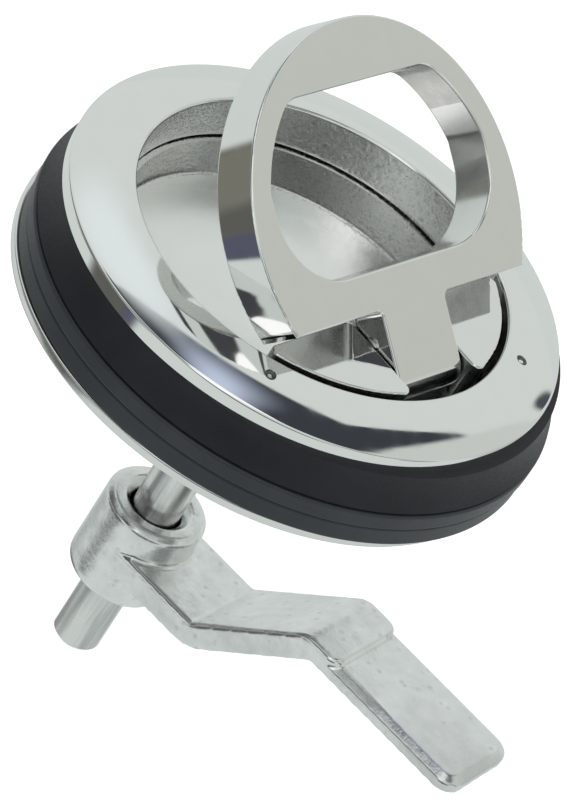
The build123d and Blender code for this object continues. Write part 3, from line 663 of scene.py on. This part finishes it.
def notch_tree():
    """Spanner notches sunk into the side of a round hub."""
    inputs = [
        ("Blank", "NodeSocketGeometry", None),
        ("Notches", "NodeSocketInt", 6),
        ("Hub Radius", "NodeSocketFloat", 0.035),
        ("Notch Depth", "NodeSocketFloat", 0.0014),
        ("Notch Width", "NodeSocketFloat", 0.005),
        ("Notch Bottom", "NodeSocketFloat", -0.017),
        ("Notch Top", "NodeSocketFloat", -0.0136),
        ("Finish", "NodeSocketMaterial", None),
    ]
    tree, given, end = new_tree("spanner_notches", inputs)
    height = math(tree, "SUBTRACT", given["Notch Top"], given["Notch Bottom"])
    deep = math(tree, "MULTIPLY", given["Notch Depth"], 2.0)
    size = {"X": deep, "Y": given["Notch Width"], "Z": height}
    size = add(tree, "ShaderNodeCombineXYZ", size).outputs[0]
    block = add(tree, "GeometryNodeMeshCube", {"Size": size}).outputs[0]
    middle = math(tree, "ADD", given["Notch Top"], given["Notch Bottom"])
    middle = math(tree, "MULTIPLY", middle, 0.5)
    place = add(tree, "ShaderNodeCombineXYZ", {"X": given["Hub Radius"], "Z": middle}).outputs[0]
    block = add(tree, "GeometryNodeTransform", {"Geometry": block, "Translation": place}).outputs[0]
    blocks = fanned_out(tree, block, given["Notches"])
    nut = add(tree, "GeometryNodeMeshBoolean", operation="DIFFERENCE", solver="EXACT")
    tree.links.new(given["Blank"], nut.inputs[0])
    tree.links.new(blocks, nut.inputs[1])
    tree.links.new(coated(tree, nut.outputs[0], given["Finish"]), end.inputs[0])
    return tree


def thread_tree():
    """A screw thread: a ridge that winds down a tube."""
    inputs = [
        ("Start", "NodeSocketGeometry", None),
        ("Turns", "NodeSocketFloat", 4.0),
        ("Pitch", "NodeSocketFloat", 0.0015),
        ("Root Radius", "NodeSocketFloat", 0.0315),
        ("Crest Height", "NodeSocketFloat", 0.0005),
        ("Thread Bottom", "NodeSocketFloat", -0.018),
        ("Finish", "NodeSocketMaterial", None),
    ]
    tree, given, end = new_tree("tube_thread", inputs)
    height = math(tree, "MULTIPLY", given["Turns"], given["Pitch"])
    winding = {
        "Resolution": 160,
        "Rotations": given["Turns"],
        "Start Radius": given["Root Radius"],
        "End Radius": given["Root Radius"],
        "Height": height,
    }
    winding = add(tree, "GeometryNodeCurveSpiral", winding).outputs[0]
    winding = add(tree, "GeometryNodeSetCurveNormal", {"Curve": winding}, mode="Z_UP").outputs[0]
    profile = {"Resolution": 4, "Radius": given["Crest Height"]}
    profile = add(tree, "GeometryNodeCurvePrimitiveCircle", profile).outputs[0]
    ridge = {"Curve": winding, "Profile Curve": profile, "Fill Caps": True}
    ridge = add(tree, "GeometryNodeCurveToMesh", ridge).outputs[0]
    place = add(tree, "ShaderNodeCombineXYZ", {"Z": given["Thread Bottom"]}).outputs[0]
    ridge = add(tree, "GeometryNodeTransform", {"Geometry": ridge, "Translation": place}).outputs[0]
    tree.links.new(coated(tree, ridge, given["Finish"]), end.inputs[0])
    return tree


nut_bright = polished_steel(
    "nut_bright", (0.82, 0.82, 0.81, 1), wave_height=0.002, haze_low=0.10, haze_high=0.2
)
nut_low, nut_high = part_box("clamp_nut")
nut_bore = tube_outer + 0.05 * mm
nut_flange_radius = 39.8 * mm
nut_flange_low = -13.6 * mm
hub_radius = 35.0 * mm
notch_overrun = 0.5 * mm
nut_outline = [
    Vector((nut_bore, nut_low.z)),
    Vector((hub_radius, nut_low.z)),
    Vector((hub_radius, nut_flange_low)),
    Vector((nut_flange_radius, nut_flange_low)),
    Vector((nut_flange_radius, nut_high.z)),
    Vector((nut_bore, nut_high.z)),
]
nut_rounds = {1: 0.3 * mm, 2: 0.3 * mm, 3: 0.4 * mm, 4: 0.4 * mm}
nut_blank = turned_mesh("clamp_nut_blank", rounded(nut_outline, nut_rounds))
nut_mesh = grown(nut_blank, notch_tree(), {
    "Notches": 6,
    "Hub Radius": hub_radius,
    "Notch Depth": 1.4 * mm,
    "Notch Width": 5.0 * mm,
    "Notch Bottom": nut_low.z - notch_overrun,
    "Notch Top": nut_flange_low,
    "Finish": nut_bright,
})
finish_mesh("clamp_nut_bright", nut_mesh, "housing", ["clamp_nut"], [])
thread_turns = 3.6
thread_pitch = 1.5 * mm
thread_height = tube_outer - thread_root
thread_mesh = grown(bpy.data.meshes.new("thread_start"), thread_tree(), {
    "Turns": thread_turns,
    "Pitch": thread_pitch,
    "Root Radius": thread_root,
    "Crest Height": thread_height,
    "Thread Bottom": tube_bottom + 1.1 * thread_height,
    "Finish": nut_bright,
})
finish_mesh("housing_thread", thread_mesh, "housing", [], [], sharp_degrees=60)

# Turning cup
# A second casting: the cup's floor and wall, the block that carries the hinge, and two
# cheeks underneath. The block's top is polished level with the flange.
cup_polish = polished_steel("cup_polish", (0.84, 0.84, 0.83, 1))
cup = dressed("turning_cup", "turning_cup_steel", "cup", cup_polish)


def dished_floor(name, tint, radius, dish):
    """Polished cast floor whose shine is hollowed a little towards its middle."""
    material, tree = new_material(name)
    place = add(tree, "ShaderNodeTexCoord").outputs["Object"]
    skin = use_group(tree, cast_skin, {"Vector": place, "Grain Scale": 1300.0})
    parts = add(tree, "ShaderNodeSeparateXYZ", {0: place}).outputs
    squares = [math(tree, "POWER", part, 2.0) for part in (parts[0], parts[1])]
    reach = math(tree, "ADD", *squares)
    hollow = math(tree, "MULTIPLY", reach, dish / radius ** 2)
    pale = tuple(0.97 * c for c in tint[:3]) + (1,)
    colour = blended(tree, skin["Grain"], tint, pale)
    rough = remapped(tree, skin["Lumps"], 0.0, 1.0, to_low=0.13, to_high=0.24)
    relief = raised(tree, hollow, 1.0)
    relief = raised(tree, skin["Lumps"], 0.010 * mm, relief)
    relief = raised(tree, skin["Grain"], 0.006 * mm, relief)
    metal_surface(tree, colour, rough, relief)
    return material


floor_radius = 27.7 * mm
floor_dish = 3.2 * mm
floor_cast = dished_floor("cup_floor", (0.93, 0.93, 0.92, 1), floor_radius, floor_dish)
wall_cast = cast_steel(
    "cup_wall", (0.78, 0.78, 0.77, 1), (0.50, 0.50, 0.50, 1),
    rough=(0.14, 0.30), grain_scale=1900, grain_height=0.06, lump_height=0.05,
)
for finish in (floor_cast, wall_cast, gap_painted_shade):
    cup.data.materials.append(finish)
block_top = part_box("turning_cup")[1].z
block_edge = 0.6 * mm
cup_floor = -9.5 * mm
floor_reach = 0.02 * mm
gap_start = block_side + 0.1 * mm
floor_slot, wall_slot, gap_shade_slot = 1, 2, 3
# Floor faces take the floor finish, and faces below the block's top take the wall finish, or
# painted shade where they lie in the gap beside the hinge block.
for face in cup.data.polygons:
    if abs(face.center.z - cup_floor) < floor_reach:
        face.material_index = floor_slot
    elif face.center.z < block_top - block_edge:
        face.material_index = gap_shade_slot if face.center.x > gap_start else wall_slot

# Ring handle
# A polished casting: a disc with a finger hole and a flat chord, and a stem that ends in
# the hinge. A slot under the stem takes the pull link.
handle_polish = polished_steel("handle_polish", (0.86, 0.86, 0.85, 1))
# The handle's underside takes a rougher satin finish and a darker tint. The darker tint is painted
# shade.
handle_satin_shade = polished_steel(
    "handle_satin_shade", (0.62, 0.62, 0.60, 1), wave_height=0.006, haze_low=0.22, haze_high=0.36
)
hole_satin = polished_steel(
    "hole_satin", (0.78, 0.78, 0.77, 1), wave_height=0.008, haze_low=0.14, haze_high=0.26
)
handle = dressed("ring_handle", "ring_handle_polished", "handle", handle_polish)
handle.data.materials.append(handle_satin_shade)
handle.data.materials.append(hole_satin)
hinge_place = Vector((21.65, 0, 1.05)) * mm
hole_distance = 22.2 * mm
hole_reach = 23.5 * mm
rest_lift = radians(36)
handle_up = Vector((sin(rest_lift), 0, cos(rest_lift)))
handle_along = Vector((-cos(rest_lift), 0, sin(rest_lift)))
hole_middle = hinge_place + handle_along * hole_distance
under_slot, hole_slot = 1, 2
flat_limit = 0.3
for face in handle.data.polygons:
    outward = face.center - hole_middle
    outward -= handle_up * outward.dot(handle_up)
    upright = abs(face.normal.dot(handle_up)) < flat_limit
    if face.normal.z < -flat_limit:
        face.material_index = under_slot
    elif upright and face.normal.dot(outward) < 0 and outward.length < hole_reach:
        face.material_index = hole_slot

# Pins, link and rocker
# Turned pins and a pressed link join the handle to a forked rocker under the cup, which
# moves the spindle down as the handle comes up.
turned_steel = polished_steel(
    "turned_steel", (0.72, 0.72, 0.71, 1), wave_height=0.002, haze_low=0.16, haze_high=0.3
)
lever_cast = cast_steel(
    "lever_cast", (0.55, 0.55, 0.54, 1), (0.3, 0.3, 0.3, 1),
    rough=(0.35, 0.5), grain_scale=1600, grain_height=0.03, lump_height=0.04,
)
lever_parts = {
    "hinge_pin": "cup",
    "rocker_pin": "cup",
    "link_pin": "handle",
    "pull_link": "link",
    "rocker_link_pin": "rocker_lever",
    "cross_pin": "bolt",
}
for node, body in lever_parts.items():
    dressed(node, node + "_steel", body, turned_steel)
dressed("rocker", "rocker_cast", "rocker_lever", lever_cast)

# Back cover
# A cast cover closes the housing: a plate, a dish, ribs and a boss for the spindle. A
# circlip holds it in the tube, and the bush and seals stay inside.
def rib_tree():
    """Cast ribs that stand in a ring, each a copy of one rib."""
    inputs = [
        ("Rib", "NodeSocketGeometry", None),
        ("Ribs", "NodeSocketInt", 6),
        ("Finish", "NodeSocketMaterial", None),
    ]
    tree, given, end = new_tree("cover_ribs", inputs)
    ribs = fanned_out(tree, given["Rib"], given["Ribs"])
    tree.links.new(coated(tree, ribs, given["Finish"]), end.inputs[0])
    return tree


cover_low, cover_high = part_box("back_cover")
plate_radius = 30.0 * mm
plate_low = -16.6 * mm
dish_radius = 24.0 * mm
dish_low = -23.6 * mm
cover_wall = 2.0 * mm
boss_radius = 9.0 * mm
bush_radius = 6.2 * mm
gland_radius = 4.3 * mm
gland_top = cover_low.z + 1.2 * mm
cover_outline = [
    Vector((gland_radius, cover_low.z)),
    Vector((boss_radius, cover_low.z)),
    Vector((boss_radius, dish_low)),
    Vector((dish_radius, dish_low)),
    Vector((dish_radius, plate_low)),
    Vector((plate_radius, plate_low)),
    Vector((plate_radius, cover_high.z)),
    Vector((dish_radius - cover_wall, cover_high.z)),
    Vector((dish_radius - cover_wall, dish_low + cover_wall)),
    Vector((bush_radius, dish_low + cover_wall)),
    Vector((bush_radius, gland_top)),
    Vector((gland_radius, gland_top)),
]
cover_rounds = {1: 1.2 * mm, 2: 1.5 * mm, 3: 2.5 * mm, 4: 1.0 * mm, 5: 0.4 * mm, 8: 1.0 * mm}
cover_outline = rounded(cover_outline, cover_rounds)
cover_mesh = turned_mesh("back_cover_cast", cover_outline, count=192)
finish_mesh("back_cover_cast", cover_mesh, "housing", ["back_cover"], [lever_cast])
rib_reach = 21.5 * mm
rib_half = 1.25 * mm
rib_root = dish_low + 0.6 * mm
rib_foot = cover_low.z + 2.5 * mm
rib_start = boss_radius - 0.8 * mm
rib_round = 0.4 * mm
rib_side = [
    (rib_start, rib_root),
    (rib_reach, rib_root),
    (rib_reach, dish_low),
    (boss_radius, rib_foot),
    (rib_start, rib_foot),
]
bm = bmesh.new()
flanks = [[bm.verts.new((x, side, z)) for x, z in rib_side] for side in (-rib_half, rib_half)]
bm.faces.new(flanks[0])
bm.faces.new(flanks[1])
for i in range(len(rib_side)):
    k = (i + 1) % len(rib_side)
    bm.faces.new((flanks[0][i], flanks[0][k], flanks[1][k], flanks[1][i]))
bmesh.ops.recalc_face_normals(bm, faces=bm.faces)
bmesh.ops.bevel(bm, geom=bm.edges[:], offset=rib_round, segments=3, profile=0.5, affect="EDGES")
rib_mesh = bpy.data.meshes.new("rib")
bm.to_mesh(rib_mesh)
bm.free()
ribs_mesh = grown(rib_mesh, rib_tree(), {"Ribs": 6, "Finish": lever_cast})
finish_mesh("back_cover_ribs", ribs_mesh, "housing", ["back_cover"], [])
spring_steel = polished_steel(
    "spring_steel", (0.5, 0.5, 0.5, 1), wave_height=0.002, haze_low=0.25, haze_high=0.4
)
bearing_plastic = moulded(
    "bearing_plastic", (0.6, 0.58, 0.52, 1), (0.66, 0.64, 0.58, 1),
    rough=(0.35, 0.5), grain_height=0.004,
)
dressed("retaining_ring", "retaining_ring_steel", "housing", spring_steel)
dressed("stop_pin", "stop_pin_steel", "housing", turned_steel)
for node in ("thrust_washer", "spindle_bush"):
    dressed(node, node + "_plastic", "housing", bearing_plastic)
for node, body in {"shaft_seal": "housing", "cup_seal": "cup"}.items():
    dressed(node, node + "_rubber", body, black_rubber)

# Spindle
# A bar drawn from stainless steel, with a flat for the cam's screw. Dull streaks left by
# drawing and handling run along it.
def drawn_steel(name, tint, dull):
    """Drawn bar: bright steel with dull streaks along its length."""
    material, tree = new_material(name)
    place = add(tree, "ShaderNodeTexCoord").outputs["Object"]
    worn = use_group(tree, hand_polish, {"Vector": place})
    along = add(tree, "ShaderNodeMapping", {"Vector": place, "Scale": (1, 1, 0.06)}).outputs[0]
    streaks = clouds(tree, along, scale=420.0, detail=4.0, roughness=0.6)
    streaks = remapped(tree, streaks, 0.42, 0.62)
    colour = blended(tree, streaks, tint, dull)
    rough = remapped(tree, worn["Haze"], 0.0, 1.0, to_low=0.16, to_high=0.34)
    metal_surface(tree, colour, rough, raised(tree, streaks, 0.006 * mm))
    return material


bar_steel = drawn_steel("bar_steel", (0.84, 0.84, 0.83, 1), (0.52, 0.52, 0.52, 1))
dressed("spindle", "spindle_steel", "bolt", bar_steel)

# Cam arm and its screw
# An investment casting, tumbled but not polished: a hub on the spindle and a cranked arm
# that ends in a thin tongue. A grub screw holds it on the flat.
def tumbled(node, name, grain, lumps, lift):
    """A remeshed copy of a CAD node with the soft, uneven skin of a tumbled casting."""
    thing = bpy.data.objects.new("blank", merged_copy(node, name))
    bpy.context.scene.collection.objects.link(thing)
    remesh = thing.modifiers.new("even_faces", "REMESH")
    remesh.mode = "VOXEL"
    remesh.voxel_size = grain
    smooth = thing.modifiers.new("soft_edges", "SMOOTH")
    smooth.factor = 0.5
    smooth.iterations = 3
    mesh = settled(thing)
    bpy.data.objects.remove(thing)
    fine_share, fine_step = 0.4, 2.3
    outwards = [vertex.normal.copy() for vertex in mesh.vertices]
    for vertex, outward in zip(mesh.vertices, outwards):
        point = vertex.co / lumps
        swell = noise.noise(point) + fine_share * noise.noise(fine_step * point)
        vertex.co += outward * swell * lift
    mesh.name = name
    return mesh


def tumbled_steel(name, tint, dull, shade):
    """Stainless steel as cast and tumbled: dull in the hollows, with darker patches and specks."""
    material, tree = new_material(name)
    place = add(tree, "ShaderNodeTexCoord").outputs["Object"]
    skin = use_group(tree, cast_skin, {"Vector": place, "Grain Scale": 1500.0})
    mottle = clouds(tree, place, scale=380.0, detail=7.0, roughness=0.65)
    mottle = remapped(tree, mottle, 0.32, 0.72)
    patches = clouds(tree, place, scale=60.0, detail=3.0)
    patches = remapped(tree, patches, 0.44, 0.64, to_low=0.0, to_high=0.35)
    specks = math(tree, "MULTIPLY", skin["Pits"], 0.45)
    colour = blended(tree, mottle, tint, dull)
    colour = blended(tree, math(tree, "MAXIMUM", patches, specks), colour, shade)
    rough = remapped(tree, mottle, 0.0, 1.0, to_low=0.14, to_high=0.30)
    relief = raised(tree, skin["Lumps"], 0.03 * mm)
    relief = raised(tree, skin["Grain"], 0.022 * mm, relief)
    metal_surface(tree, colour, rough, relief)
    return material


cam_cast = tumbled_steel(
    "cam_cast", (0.90, 0.90, 0.90, 1), (0.80, 0.81, 0.81, 1), (0.50, 0.50, 0.50, 1)
)
cam_mesh = tumbled("cam_arm", "cam_arm_cast", grain=0.25 * mm, lumps=4.5 * mm, lift=0.012 * mm)
finish_mesh(
    "cam_arm_cast", cam_mesh, "bolt", ["cam_arm"], [cam_cast], sharp_degrees=75
)
dressed("cam_screw", "cam_screw_steel", "bolt", spring_steel)
